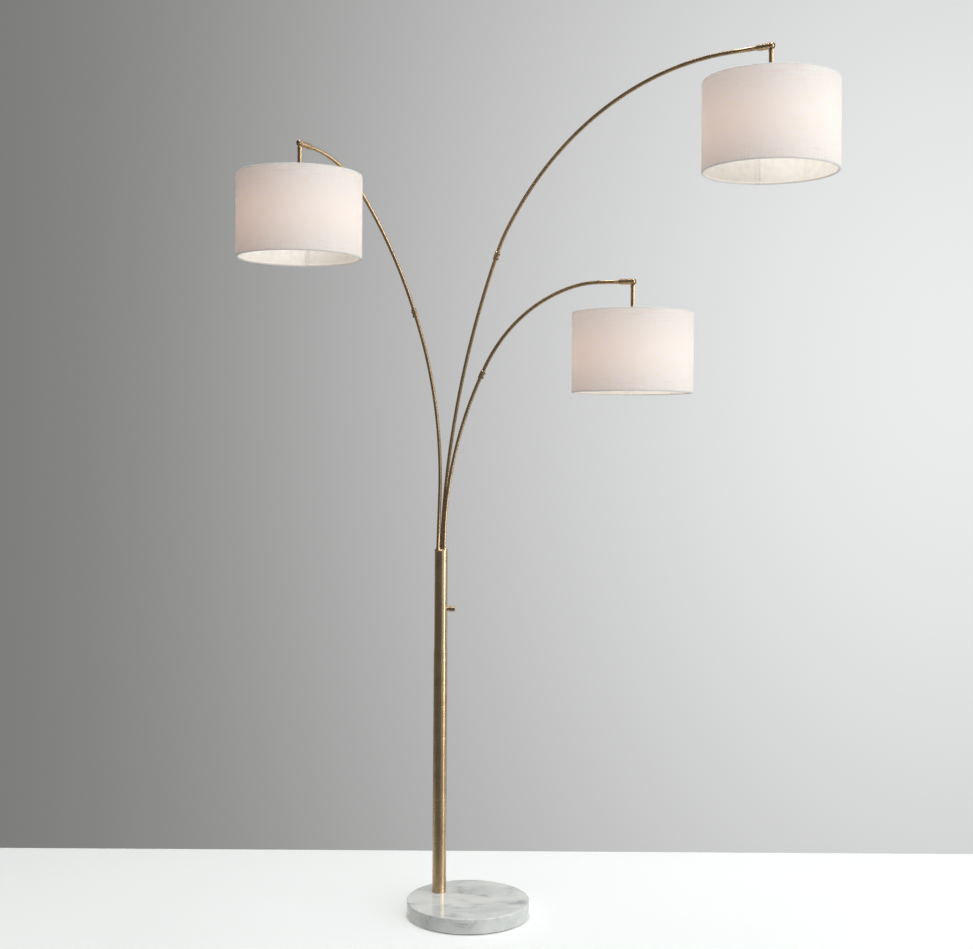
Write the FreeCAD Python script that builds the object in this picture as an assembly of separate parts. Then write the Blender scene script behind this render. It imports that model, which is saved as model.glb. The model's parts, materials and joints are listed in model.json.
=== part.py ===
import FreeCAD, Part
import math
import os

from FreeCAD import Vector

# Floor lamp with a marble foot, a two-piece brass pole and three bent arms.  A drum shade hangs
# from a pivot at the tip of each arm, and each arm can be turned in the cap of the pole.
# Millimetres and degrees.  The origin is the middle of the foot's underside, on the floor.
# +X is to the right of the lamp, +Y is its back and +Z is up.

# ---------------------------------------------------------------- driving dimensions
running_gap = 0.05              # radial gap of a shaft that turns in its bore
slip_gap = 0.1                  # radial gap of two fixed pieces that slide together
seat_gap = 0.3                  # gap between a piece and a seat that it does not rest on

# foot
foot_diameter = 330.0
foot_height = 42.0              # marble and felt together
felt_thickness = 3.0
felt_margin = 6.0               # how far the felt stays inside the marble's rim
foot_top_round = 2.5
foot_bottom_round = 1.5
pole_from_centre_x = -80.0      # the pole stands behind and to the left of the foot's middle
pole_from_centre_y = 59.0

# tie rod that pulls the pole down on the foot
rod_diameter = 12.0
rod_below_nut = 3.0
rod_into_plug = 24.0
nut_across_flats = 19.0
nut_height = 10.0
washer_diameter = 60.0
washer_thickness = 3.0
recess_margin = 3.0             # room around the washer in the marble's recess
recess_depth = 20.0
rod_hole_margin = 1.0

# pole
lower_pole_diameter = 38.0
lower_pole_length = 653.0
upper_pole_diameter = 36.0
upper_pole_length = 267.0
pole_wall = 1.5
seam_ring_diameter = 37.2
seam_ring_height = 12.0
plug_depth = 28.0               # how far each plug reaches into a pole tube
plug_bore = 14.0
cap_diameter = 38.4
cap_thickness = 4.0
cap_spigot = 14.0
cap_edge = 0.8

# arm roots in the cap
root_circle = 9.5               # radius of the circle that the three arms stand on
ferrule_neck = 11.9
ferrule_flange = 14.0
ferrule_flange_thickness = 2.0
ferrule_cone_height = 4.0
ferrule_top = 11.4
root_nut_diameter = 13.0
root_nut_height = 8.0
thread_below_nut = 4.0
root_rise = 12.0                # straight tube between the cap and the first bend
root_bend = 60.0                # radius of the small bend that leans an arm over

# arm tubes
arm_diameter = 10.0
arm_wall = 1.2
wire_diameter = 6.0
coupler_diameter = 14.0
coupler_length = 24.0
coupler_chamfer = 1.2
clamp_screw_diameter = 3.0
clamp_screw_head = 5.4
clamp_screw_head_height = 2.6
clamp_screw_spacing = 12.0

# Each arm: the turn of its root on the cap and of its reach, both from +X towards +Y, then its
# lean above the cap, the straight rise, the long bend of the lower tube, the two bends of the
# upper tube and the straight run that ends at the front of the tip fitting.
tall = dict(name="tall", root_angle=86.5, reach_angle=-44.0, lean_angle=3.8, rise=21.0,
            lower_bend=2010.0, lower_angle=21.9, first_bend=350.0, first_angle=10.1,
            last_bend=804.0, last_angle=57.4, end_run=114.0)
middle = dict(name="middle", root_angle=206.5, reach_angle=-128.0, lean_angle=-2.5, rise=135.0,
              lower_bend=960.0, lower_angle=29.5, first_bend=1088.0, first_angle=18.7,
              last_bend=284.0, last_angle=39.1, end_run=50.0)
low = dict(name="low", root_angle=-33.5, reach_angle=-32.0, lean_angle=1.5, rise=21.0,
           lower_bend=984.0, lower_angle=26.1, first_bend=411.0, first_angle=49.7,
           last_bend=285.0, last_angle=14.9, end_run=103.0)
ARMS = (tall, middle, low)

# tip fitting: a turned sleeve with a slot for the stem's eye
tip_diameter = 15.0
tip_length = 46.0
tip_rear_diameter = 11.6
tip_cone_length = 6.0
tip_socket_depth = 24.0
tip_bead_diameter = 14.4
tip_groove_width = 1.2
tip_groove_depth = 0.7
tip_bead_round = 5.0
pivot_from_front = 8.0
inward_swing = 20.0             # how far the stem can swing towards its arm
slot_width = 5.4
slot_roof = 1.8                 # metal left above the slot
pin_diameter = 4.0
pin_head_diameter = 7.0
pin_head_thickness = 1.5
pin_head_sink = 0.8             # how deep the heads sit in the sides of the fitting

# stem
eye_diameter = 10.0
eye_thickness = 5.0
tongue_width = 8.0
stem_diameter = 11.0
stem_bore = 7.0
stem_shoulder_drop = 10.5       # pivot to the top of the stem's collar
stem_collar_diameter = 12.6
stem_collar_height = 4.0
stem_to_shade_top = 78.0        # pivot down to the top edge of the shade
stem_below_shade_top = 10.0

# lamp holder
cup_drop = 4.0                  # top edge of the shade down to the top of the cup
cup_diameter = 40.0
cup_height = 18.0
cup_wall = 1.0
cup_shoulder_round = 9.0
holder_diameter = 37.4
holder_length = 39.0
holder_in_cup = 6.3
holder_flange_diameter = 43.0
holder_flange_thickness = 2.0
holder_bore = 29.0
holder_roof = 12.0
shade_ring_diameter = 49.0
shade_ring_height = 10.0
shade_ring_ribs = 24
shade_ring_groove = 2.0         # diameter of the grooves between its ribs

# shade and its wire frame
shade_diameter = 305.0
shade_height = 203.0
shade_wall = 1.2
frame_wire = 3.2
frame_inset = 3.0               # rim of the shade to the middle of each wire ring
fitter_diameter = 52.0
fitter_thickness = 1.6
spoke_count = 3

# bulb
bulb_diameter = 60.0
bulb_glass = 1.0
bulb_length = 110.0
bulb_neck_diameter = 27.0
bulb_cap_diameter = 26.0
bulb_cap_length = 25.0
bulb_contact_diameter = 9.0
bulb_contact_height = 1.0

# turn switch on the right of the upper pole
switch_below_cap = 162.0        # top face of the cap down to the knob's axis
switch_depth = 23.0
switch_width = 18.0
switch_tall = 22.0
switch_reach = 13.5             # pole axis to the face of the switch body
neck_diameter = 9.8
neck_hole_margin = 0.3
switch_nut_diameter = 13.0
switch_nut_thickness = 2.6
neck_past_nut = 0.5
shaft_diameter = 6.0
shaft_engagement = 6.0
shaft_into_knob = 1.0
knob_diameter = 15.0
knob_length = 17.5
knob_chamfer = 1.0
knob_grooves = 30
knob_groove_diameter = 0.9
knob_dish_diameter = 9.0
knob_dish_depth = 0.6

# inlet for the supply cord at the back of the lower pole
inlet_above_foot = 48.0
inlet_diameter = 10.0
inlet_bore = 7.0
inlet_flange_diameter = 15.0
inlet_flange_thickness = 2.6
lead_start_gap = 4.0            # inside of the pole to the start of the inner lead
lead_bend = 12.0
harness_diameter = 8.0

# ---------------------------------------------------------------- sizes worked out from them
UP = Vector(0, 0, 1)
pole_axis = Vector(pole_from_centre_x, pole_from_centre_y, 0)
lower_pole_radius = lower_pole_diameter / 2
lower_bore_radius = lower_pole_radius - pole_wall
upper_pole_radius = upper_pole_diameter / 2
upper_bore_radius = upper_pole_radius - pole_wall
seam_height = foot_height + lower_pole_length
ring_top = seam_height + seam_ring_height
cap_underside = ring_top + upper_pole_length
cap_top_height = cap_underside + cap_thickness
spigot_bottom = cap_underside - cap_spigot
root_nut_bottom = spigot_bottom - seat_gap - root_nut_height
arm_bottom = root_nut_bottom - thread_below_nut
switch_height = cap_top_height - switch_below_cap
inlet_height = foot_height + inlet_above_foot
arm_radius = arm_diameter / 2
tip_radius = tip_diameter / 2
tip_rear = pivot_from_front - tip_length
tip_socket_end = tip_rear + tip_socket_depth

os.makedirs("parts", exist_ok=True)


# ---------------------------------------------------------------- small tools
def save(node, *solids):
    """Write one node; like pieces that share a node stay separate solids."""
    shape = solids[0] if len(solids) == 1 else Part.makeCompound(solids)
    shape.exportStep("parts/" + node + ".step")


def rod(radius, base, way, length):
    return Part.makeCylinder(radius, length, base, way)


def bush(outer, inner, base, way, length):
    """A ring or tube with a round hole; the cutter runs past both ends."""
    spare = 1.0
    return rod(outer, base, way, length).cut(rod(inner, base - way * spare, way, length + 2 * spare))


def turned(points, base=Vector()):
    """Solid turned about the Z axis from (radius, height) points of a closed outline."""
    outline = Part.makePolygon([Vector(r, 0, z) for r, z in points + points[:1]])
    return Part.Face(outline).revolve(Vector(), UP, 360).translated(base)


def hexagon(across_flats, base, height):
    corner = across_flats / math.sqrt(3)
    turns = [math.radians(60 * side) for side in range(7)]
    outline = Part.makePolygon([base + Vector(corner * math.cos(t), corner * math.sin(t), 0) for t in turns])
    return Part.Face(outline).extrude(UP * height)


def heading(turn):
    return Vector(math.cos(math.radians(turn)), math.sin(math.radians(turn)), 0)


def axes_at(point, along, up):
    """Placement whose X runs along and whose Z is up, at a point."""
    side = up.cross(along)
    matrix = FreeCAD.Matrix(along.x, side.x, up.x, point.x,
                            along.y, side.y, up.y, point.y,
                            along.z, side.z, up.z, point.z,
                            0, 0, 0, 1)
    return FreeCAD.Placement(matrix)


def placed(shape, placement):
    moved = shape.copy()
    moved.Placement = placement.multiply(shape.Placement)
    return moved


# ---------------------------------------------------------------- centrelines
class Run:
    """A centreline of straights and tangent bends, drawn from a point in a given direction.

    `inner` is the side that a bend with a positive angle curves to.
    """

    def __init__(self, point, along, inner):
        self.point, self.along, self.inner = point, along, inner
        self.edges = []

    def straight(self, length):
        end = self.point + self.along * length
        self.edges.append(Part.LineSegment(self.point, end).toShape())
        self.point = end
        return self

    def bend(self, radius, angle):
        signed = math.copysign(radius, angle)
        centre = self.point + self.inner * signed

        def on_bend(turn):
            return centre - self.inner * signed * math.cos(turn) + self.along * signed * math.sin(turn)

        turn = math.radians(angle)
        self.edges.append(Part.Arc(self.point, on_bend(turn / 2), on_bend(turn)).toShape())
        along, inner = self.along, self.inner
        self.point = on_bend(turn)
        self.along = along * math.cos(turn) + inner * math.sin(turn)
        self.inner = inner * math.cos(turn) - along * math.sin(turn)
        return self

    def go_on(self):
        """A new run that starts where this one ends."""
        return Run(self.point, self.along, self.inner)

    def sweep(self, outer, inner=0.0):
        """Tube or, with no inner radius, round bar along the run."""
        start, way = self.edges[0].valueAt(self.edges[0].FirstParameter), self.start_way()
        path = Part.Wire(self.edges)
        rims = [Part.Wire(Part.makeCircle(outer, start, way))]
        if inner:
            rims.append(Part.Wire(Part.makeCircle(inner, start, way)))
        bars = [path.makePipeShell([rim], True, False) for rim in rims]
        return bars[0] if len(bars) == 1 else bars[0].cut(bars[1])

    def start_way(self):
        first = self.edges[0]
        return first.tangentAt(first.FirstParameter)


# ---------------------------------------------------------------- foot
def make_foot():
    foot_radius = foot_diameter / 2
    marble_height = foot_height - felt_thickness
    marble = rod(foot_radius, Vector(0, 0, felt_thickness), UP, marble_height)
    top_rim = [e for e in marble.Edges if e.Closed and e.BoundBox.ZMin > foot_height - 0.01]
    marble = marble.makeFillet(foot_top_round, top_rim)
    bottom_rim = [e for e in marble.Edges if e.Closed and e.BoundBox.ZMax < felt_thickness + 0.01]
    marble = marble.makeFillet(foot_bottom_round, bottom_rim)

    underside = pole_axis + UP * felt_thickness
    marble = marble.cut(rod(washer_diameter / 2 + recess_margin, underside, UP, recess_depth))
    marble = marble.cut(rod(rod_diameter / 2 + rod_hole_margin, underside, UP, marble_height))
    save("marble_foot", marble)
    save("foot_felt", rod(foot_radius - felt_margin, Vector(), UP, felt_thickness))

    washer_base = pole_axis + UP * (felt_thickness + recess_depth - washer_thickness)
    thread_radius = rod_diameter / 2 + slip_gap
    save("foot_washer", bush(washer_diameter / 2, thread_radius, washer_base, UP, washer_thickness))
    nut_base = washer_base - UP * nut_height
    nut = hexagon(nut_across_flats, nut_base, nut_height)
    save("foot_nut", nut.cut(rod(thread_radius, nut_base, UP, nut_height)))

    rod_base = nut_base - UP * rod_below_nut
    rod_top = foot_height + rod_into_plug
    save("tie_rod", rod(rod_diameter / 2, rod_base, UP, rod_top - rod_base.z))


# ---------------------------------------------------------------- pole
def make_pole():
    foot_top = pole_axis + UP * foot_height
    plug_radius = lower_bore_radius - slip_gap
    foot_plug = bush(plug_radius, rod_diameter / 2 + slip_gap, foot_top, UP, plug_depth)
    save("pole_foot_plug", foot_plug)

    tube = bush(lower_pole_radius, lower_bore_radius, foot_top, UP, lower_pole_length)
    back = Vector(0, 1, 0)
    inlet_centre = pole_axis + UP * inlet_height
    tube = tube.cut(rod(inlet_diameter / 2 + slip_gap, inlet_centre, back, lower_pole_diameter))
    save("lower_pole", tube)

    flange = rod(inlet_flange_diameter / 2, inlet_centre, back, lower_pole_radius + inlet_flange_thickness)
    flange = flange.cut(rod(lower_pole_radius + slip_gap, foot_top, UP, seam_height))
    neck = rod(inlet_diameter / 2, inlet_centre, back, lower_pole_radius + inlet_flange_thickness)
    neck = neck.cut(rod(lower_bore_radius - seat_gap, foot_top, UP, seam_height))
    bushing = flange.fuse(neck).removeSplitter()
    bushing = bushing.cut(rod(inlet_bore / 2, inlet_centre, back, lower_pole_diameter))
    save("cord_inlet_bushing", bushing)

    seam = pole_axis + UP * seam_height
    low_spigot = rod(lower_bore_radius - slip_gap, seam - UP * plug_depth, UP, plug_depth)
    high_spigot = rod(upper_bore_radius - slip_gap, seam, UP, seam_ring_height + plug_depth)
    plug = low_spigot.fuse(high_spigot).removeSplitter()
    plug = plug.cut(rod(plug_bore / 2, seam - UP * plug_depth, UP, seam_ring_height + 2 * plug_depth))
    save("pole_joint_plug", plug)

    ring = bush(seam_ring_diameter / 2, upper_bore_radius, seam, UP, seam_ring_height)
    save("seam_ring", ring)

    tube = bush(upper_pole_radius, upper_bore_radius, pole_axis + UP * ring_top, UP, upper_pole_length)
    switch_centre = pole_axis + UP * switch_height
    neck_hole = rod(neck_diameter / 2 + neck_hole_margin, switch_centre, Vector(1, 0, 0), upper_pole_diameter)
    save("upper_pole", tube.cut(neck_hole))


def root_point(arm, height):
    return pole_axis + heading(arm["root_angle"]) * root_circle + UP * height


def make_cap():
    plate = rod(cap_diameter / 2, pole_axis + UP * cap_underside, UP, cap_thickness)
    rims = [e for e in plate.Edges if e.Closed and e.Length > cap_diameter * 3]
    plate = plate.makeChamfer(cap_edge, rims)
    spigot = rod(upper_bore_radius - slip_gap, pole_axis + UP * spigot_bottom, UP, cap_spigot)
    cap = plate.fuse(spigot).removeSplitter()
    ferrules = []
    nuts = []
    bore = arm_radius + running_gap
    for arm in ARMS:
        neck_base = root_point(arm, spigot_bottom)
        neck_length = cap_top_height - spigot_bottom
        cap = cap.cut(rod(ferrule_neck / 2 + slip_gap, neck_base, UP, neck_length))
        flange_top = neck_length + ferrule_flange_thickness
        cone_top = flange_top + ferrule_cone_height
        ferrules.append(turned([(bore, 0), (ferrule_neck / 2, 0), (ferrule_neck / 2, neck_length),
                                (ferrule_flange / 2, neck_length), (ferrule_flange / 2, flange_top),
                                (ferrule_top / 2, cone_top), (bore, cone_top)], neck_base))
        nuts.append(bush(root_nut_diameter / 2, bore, root_point(arm, root_nut_bottom), UP, root_nut_height))
    save("pole_cap", cap)
    save("cap_ferrules", *ferrules)
    save("arm_root_nuts", *nuts)


# ---------------------------------------------------------------- switch and inner leads
def make_switch():
    centre = pole_axis + UP * switch_height
    right = Vector(1, 0, 0)
    corner = centre + Vector(switch_reach - switch_depth, -switch_width / 2, -switch_tall / 2)
    body = Part.makeBox(switch_depth, switch_width, switch_tall, corner)
    face = centre + right * switch_reach
    nut_end = upper_pole_radius + switch_nut_thickness
    neck_end = nut_end + neck_past_nut
    body = body.fuse(rod(neck_diameter / 2, face, right, neck_end - switch_reach)).removeSplitter()
    shaft_start = neck_end - shaft_engagement
    shaft_bore = rod(shaft_diameter / 2, centre + right * shaft_start, right, shaft_engagement)
    save("switch_body", body.cut(shaft_bore))

    nut = rod(switch_nut_diameter / 2, centre, right, nut_end)
    nut = nut.cut(rod(upper_pole_radius + slip_gap, centre - UP * switch_tall, UP, 2 * switch_tall))
    save("switch_nut", nut.cut(rod(neck_diameter / 2 + slip_gap, centre, right, nut_end)))

    knob_start = neck_end + seat_gap
    knob = rod(knob_diameter / 2, centre + right * knob_start, right, knob_length)
    knob = knob.makeChamfer(knob_chamfer, [e for e in knob.Edges if e.Closed and e.Length > knob_diameter])
    for groove in range(knob_grooves):
        turn = math.radians(360 * groove / knob_grooves)
        spoke = Vector(0, math.cos(turn), math.sin(turn)) * (knob_diameter / 2)
        start = centre + right * knob_start + spoke
        knob = knob.cut(rod(knob_groove_diameter / 2, start, right, knob_length))
    dish_floor = knob_start + knob_length - knob_dish_depth
    knob = knob.cut(rod(knob_dish_diameter / 2, centre + right * dish_floor, right, knob_dish_depth))
    shaft_radius = shaft_diameter / 2 - running_gap
    shaft_end = knob_start + shaft_into_knob
    shaft = rod(shaft_radius, centre + right * (shaft_start + seat_gap), right,
                shaft_end - shaft_start - seat_gap)
    save("switch_knob", knob.fuse(shaft).removeSplitter())
    print("switch knob axis through", centre, "along", right)

    back = Vector(0, 1, 0)
    lead_start = pole_axis + UP * inlet_height + back * (lower_bore_radius - lead_start_gap)
    lead = Run(lead_start, back.negative(), UP)
    lead.straight((lead_start - pole_axis).y - lead_bend)
    lead.bend(lead_bend, 90)
    lead.straight(switch_height - switch_tall / 2 - lead.point.z)
    harness_base = pole_axis + UP * (switch_height + switch_tall / 2)
    harness = rod(harness_diameter / 2, harness_base, UP, arm_bottom - seat_gap - harness_base.z)
    save("pole_wiring", lead.sweep(wire_diameter / 2), harness)


# ---------------------------------------------------------------- one arm
def make_arm(arm):
    """Tubes, wire, coupler and tip fitting; returns the pivot and its axes."""
    name = arm["name"]
    root = root_point(arm, arm_bottom)
    lower = Run(root, UP, heading(arm["reach_angle"]))
    lower.straight(cap_top_height + root_rise - arm_bottom)
    lower.bend(root_bend, arm["lean_angle"])
    lower.straight(arm["rise"])
    lower.bend(arm["lower_bend"], arm["lower_angle"])
    lower.straight(coupler_length / 2)

    upper = lower.go_on()
    upper.straight(coupler_length / 2)
    upper.bend(arm["first_bend"], arm["first_angle"])
    upper.bend(arm["last_bend"], arm["last_angle"])
    upper.straight(arm["end_run"] - pivot_from_front + tip_socket_end)
    pivot = upper.point - upper.along * tip_socket_end

    arm_bore = arm_radius - arm_wall
    save(name + "_arm_lower_tube", lower.sweep(arm_radius, arm_bore))
    save(name + "_arm_upper_tube", upper.sweep(arm_radius, arm_bore))
    whole = Run(root, UP, heading(arm["reach_angle"]))
    whole.edges = lower.edges + upper.edges
    save(name + "_arm_wire", whole.sweep(wire_diameter / 2))
    make_coupler(name, lower.point, lower.along, lower.inner)
    make_tip(name, axes_at(pivot, upper.along, upper.inner.negative()))
    tilt_axis = upper.along.cross(upper.inner.negative())
    print(name, "arm turns about", root, "tilt pivot", pivot, "tilt axis", tilt_axis)
    return pivot, upper.along


def make_coupler(name, middle_point, along, inner):
    """Sleeve over the two tube ends, with one clamp screw for each on the inner side of the bend."""
    sleeve_radius = coupler_diameter / 2
    start = middle_point - along * (coupler_length / 2)
    sleeve = rod(sleeve_radius, start, along, coupler_length)
    rims = [e for e in sleeve.Edges if e.Closed and e.Length > coupler_diameter]
    sleeve = sleeve.makeChamfer(coupler_chamfer, rims)
    sleeve = sleeve.cut(rod(arm_radius + slip_gap, start, along, coupler_length))
    screws = []
    for side in (-0.5, 0.5):
        axis_point = middle_point + along * (side * clamp_screw_spacing)
        hole_radius = clamp_screw_diameter / 2 + slip_gap
        sleeve = sleeve.cut(rod(hole_radius, axis_point, inner, coupler_diameter))
        shank_start = arm_radius + slip_gap
        shank = rod(clamp_screw_diameter / 2, axis_point + inner * shank_start, inner,
                    sleeve_radius - shank_start + clamp_screw_head_height)
        head = rod(clamp_screw_head / 2, axis_point + inner * sleeve_radius, inner, clamp_screw_head_height)
        screws.append(shank.fuse(head).removeSplitter())
    save(name + "_arm_coupler", sleeve)
    save(name + "_arm_clamp_screws", *screws)


def make_tip(name, placement):
    """Fitting along local X with the pivot at its origin, and the screw that the stem hangs on."""
    forward = Vector(1, 0, 0)
    side = Vector(0, 1, 0)
    cone_end = tip_rear + tip_cone_length
    bead_radius = tip_bead_diameter / 2
    groove_radius = bead_radius - tip_groove_depth
    round_start = pivot_from_front - tip_bead_round
    outline = [(0, tip_rear), (tip_rear_diameter / 2, tip_rear), (tip_radius, cone_end), (tip_radius, 0),
               (groove_radius, 0), (groove_radius, tip_groove_width), (bead_radius, tip_groove_width),
               (bead_radius, round_start)]
    points = [Vector(x, 0, r) for r, x in outline]
    edges = [Part.makeLine(a, b) for a, b in zip(points, points[1:])]
    nose_edge = Vector(pivot_from_front, 0, bead_radius - tip_bead_round)
    nose = Vector(pivot_from_front, 0, 0)
    half = math.sqrt(0.5) * tip_bead_round
    on_round = Vector(round_start + half, 0, bead_radius - tip_bead_round + half)
    edges.append(Part.Arc(points[-1], on_round, nose_edge).toShape())
    edges.append(Part.makeLine(nose_edge, nose))
    edges.append(Part.makeLine(nose, points[0]))
    body = Part.Face(Part.Wire(edges)).revolve(Vector(), forward, 360)

    body = body.cut(rod(arm_radius + slip_gap, forward * tip_rear, forward, tip_socket_depth))
    body = body.cut(rod(arm_radius - arm_wall, forward * tip_rear, forward, -tip_rear))
    slot_height = 2 * tip_radius - slot_roof
    swing = math.radians(inward_swing)
    tongue_reach = tongue_width / 2 * math.cos(swing) + tip_radius * math.sin(swing)
    slot_reach = max(eye_diameter / 2, tongue_reach) + seat_gap
    slot_corner = Vector(-slot_reach, -slot_width / 2, -tip_radius)
    slot_length = slot_reach + pivot_from_front
    body = body.cut(Part.makeBox(slot_length, slot_width, slot_height, slot_corner))
    hole_start = side * -tip_diameter
    body = body.cut(rod(pin_diameter / 2 + slip_gap, hole_start, side, 2 * tip_diameter))
    seat = tip_radius - pin_head_sink
    for way in (side, side.negative()):
        body = body.cut(rod(pin_head_diameter / 2 + slip_gap, way * seat, way, tip_radius))
    save(name + "_arm_tip_fitting", placed(body, placement))

    screw = rod(pin_diameter / 2, side * -seat, side, 2 * seat)
    for way in (side, side.negative()):
        screw = screw.fuse(rod(pin_head_diameter / 2, way * seat, way, pin_head_thickness))
    save(name + "_arm_pivot_screw", placed(screw.removeSplitter(), placement))


# ---------------------------------------------------------------- one hanging shade
def make_stem(name, pivot, placement):
    side = Vector(0, 1, 0)
    down = Vector(0, 0, -1)
    half = eye_thickness / 2
    eye = rod(eye_diameter / 2, side * -half, side, eye_thickness)
    tongue = Part.makeBox(tongue_width, eye_thickness, stem_shoulder_drop,
                          Vector(-tongue_width / 2, -half, -stem_shoulder_drop))
    collar = rod(stem_collar_diameter / 2, down * stem_shoulder_drop, down, stem_collar_height)
    stem_end = stem_to_shade_top + stem_below_shade_top
    tube = rod(stem_diameter / 2, down * stem_shoulder_drop, down, stem_end - stem_shoulder_drop)
    stem = eye.fuse([tongue, collar, tube]).removeSplitter()
    bore_start = stem_shoulder_drop + stem_collar_height
    stem = stem.cut(rod(stem_bore / 2, down * bore_start, down, stem_end - bore_start))
    stem = stem.cut(rod(pin_diameter / 2 + running_gap, side * -half, side, eye_thickness))
    save(name + "_stem", placed(stem, placement))


def make_holder(name, top):
    """Cup, lamp holder and shade ring; `top` is the middle of the shade's top edge."""
    cup_radius = cup_diameter / 2
    cup_top = -cup_drop
    cup_bottom = cup_top - cup_height
    stem_hole = stem_diameter / 2 + slip_gap
    round_centre = Vector(cup_radius - cup_shoulder_round, 0, cup_top - cup_shoulder_round)

    def cup_side(offset):
        """Edges of one skin of the cup, from the stem hole out and down to the rim."""
        radius = cup_shoulder_round - offset
        start = Vector(stem_hole, 0, cup_top - offset)
        crown = round_centre + Vector(0, 0, radius)
        corner = round_centre + Vector(math.sqrt(0.5) * radius, 0, math.sqrt(0.5) * radius)
        flank = round_centre + Vector(radius, 0, 0)
        rim = Vector(cup_radius - offset, 0, cup_bottom)
        edges = [Part.makeLine(start, crown), Part.Arc(crown, corner, flank).toShape()]
        edges.append(Part.makeLine(flank, rim))
        return start, edges, rim

    outer_start, outer_edges, outer_rim = cup_side(0.0)
    inner_start, inner_edges, inner_rim = cup_side(cup_wall)
    edges = outer_edges + [Part.makeLine(outer_rim, inner_rim)] + inner_edges
    edges.append(Part.makeLine(inner_start, outer_start))
    outline = Part.Wire(Part.__sortEdges__(edges))
    cup = Part.Face(outline).revolve(Vector(), UP, 360)
    save(name + "_holder_cup", cup.translated(top))

    flange_top = cup_bottom - seat_gap
    flange_bottom = flange_top - holder_flange_thickness
    body_top = flange_top + holder_in_cup
    body_bottom = body_top - holder_length
    body_radius = holder_diameter / 2
    bore_radius = holder_bore / 2
    bore_top = body_top - holder_roof
    holder = turned([(0, body_top), (body_radius, body_top), (body_radius, flange_top),
                     (holder_flange_diameter / 2, flange_top), (holder_flange_diameter / 2, flange_bottom),
                     (body_radius, flange_bottom), (body_radius, body_bottom), (bore_radius, body_bottom),
                     (bore_radius, bore_top), (0, bore_top)], top)
    save(name + "_lamp_holder", holder)

    fitter_top = flange_bottom - slip_gap
    ring_top_z = fitter_top - fitter_thickness - slip_gap
    ring_base = top + UP * (ring_top_z - shade_ring_height)
    ring = bush(shade_ring_diameter / 2, body_radius + slip_gap, ring_base, UP, shade_ring_height)
    for rib in range(shade_ring_ribs):
        groove = ring_base + heading(360 * rib / shade_ring_ribs) * (shade_ring_diameter / 2)
        ring = ring.cut(rod(shade_ring_groove / 2, groove, UP, shade_ring_height))
    save(name + "_shade_ring", ring)
    return fitter_top, bore_top


def make_shade(name, top, fitter_top, outward):
    """Drum on a wire frame: a spoked top ring with the fitter, and a bottom ring."""
    outer = shade_diameter / 2
    inner = outer - shade_wall
    save(name + "_shade", bush(outer, inner, top - UP * shade_height, UP, shade_height))

    wire = frame_wire / 2
    ring_radius = inner - slip_gap - wire
    top_ring = Part.makeTorus(ring_radius, wire, top - UP * frame_inset, UP)
    bottom_ring = Part.makeTorus(ring_radius, wire, top - UP * (shade_height - frame_inset), UP)
    fitter_middle = fitter_top - fitter_thickness / 2
    fitter_base = top + UP * (fitter_top - fitter_thickness)
    fitter_bore = holder_diameter / 2 + seat_gap
    fitter = bush(fitter_diameter / 2, fitter_bore, fitter_base, UP, fitter_thickness)
    frame = top_ring.fuse(fitter)
    first_turn = math.degrees(math.atan2(outward.y, outward.x)) + 180
    for spoke in range(spoke_count):
        way = heading(first_turn + 360 * spoke / spoke_count)
        start = top + way * (fitter_diameter / 2 - wire) + UP * fitter_middle
        end = top + way * ring_radius - UP * frame_inset
        frame = frame.fuse(rod(wire, start, (end - start).normalize(), start.distanceToPoint(end)))
    save(name + "_shade_frame", frame.removeSplitter(), bottom_ring)


def make_bulb(name, top, bore_top):
    """Round bulb in the holder: glass with a wall, closed on its screw cap."""
    globe_radius = bulb_diameter / 2
    tip_z = bore_top - seat_gap - bulb_contact_height
    cap_end = tip_z - bulb_cap_length
    globe_z = tip_z + bulb_contact_height - bulb_length + globe_radius
    neck_radius = bulb_neck_diameter / 2

    def glass(offset):
        """Globe and the cone that runs from it, tangent, to the neck."""
        globe = globe_radius - offset
        neck = neck_radius - offset
        rise = cap_end - globe_z
        reach = math.hypot(neck, rise)
        turn = math.atan2(rise, neck) - math.acos(globe / reach)
        touch = Vector(globe * math.cos(turn), 0, globe_z + globe * math.sin(turn))
        bottom = Vector(0, 0, globe_z - globe)
        low_turn = (turn - math.pi / 2) / 2
        on_globe = Vector(globe * math.cos(low_turn), 0, globe_z + globe * math.sin(low_turn))
        neck_end = Vector(neck, 0, cap_end)
        axis_end = Vector(0, 0, cap_end)
        edges = [Part.Arc(bottom, on_globe, touch).toShape(), Part.makeLine(touch, neck_end)]
        edges += [Part.makeLine(neck_end, axis_end), Part.makeLine(axis_end, bottom)]
        return Part.Face(Part.Wire(edges)).revolve(Vector(), UP, 360)

    shell = glass(0.0).cut(glass(bulb_glass))
    cap = rod(bulb_cap_diameter / 2, Vector(0, 0, cap_end), UP, bulb_cap_length)
    contact = rod(bulb_contact_diameter / 2, Vector(0, 0, tip_z), UP, bulb_contact_height)
    bulb = shell.fuse([cap, contact]).removeSplitter()
    save(name + "_bulb", bulb.translated(top))
    print(name, "shade top", top, "bulb bottom", top.z + globe_z - globe_radius)


def make_hanging_shade(name, pivot, along):
    outward = Vector(along.x, along.y, 0).normalize()
    make_stem(name, pivot, axes_at(pivot, outward, UP))
    top = pivot - UP * stem_to_shade_top
    fitter_top, bore_top = make_holder(name, top)
    make_shade(name, top, fitter_top, outward)
    make_bulb(name, top, bore_top)


make_foot()
make_pole()
make_cap()
make_switch()
for arm in ARMS:
    pivot, along = make_arm(arm)
    make_hanging_shade(arm["name"], pivot, along)
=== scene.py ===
import json
import math

import bmesh
import bpy
from mathutils import Matrix, Vector


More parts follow.
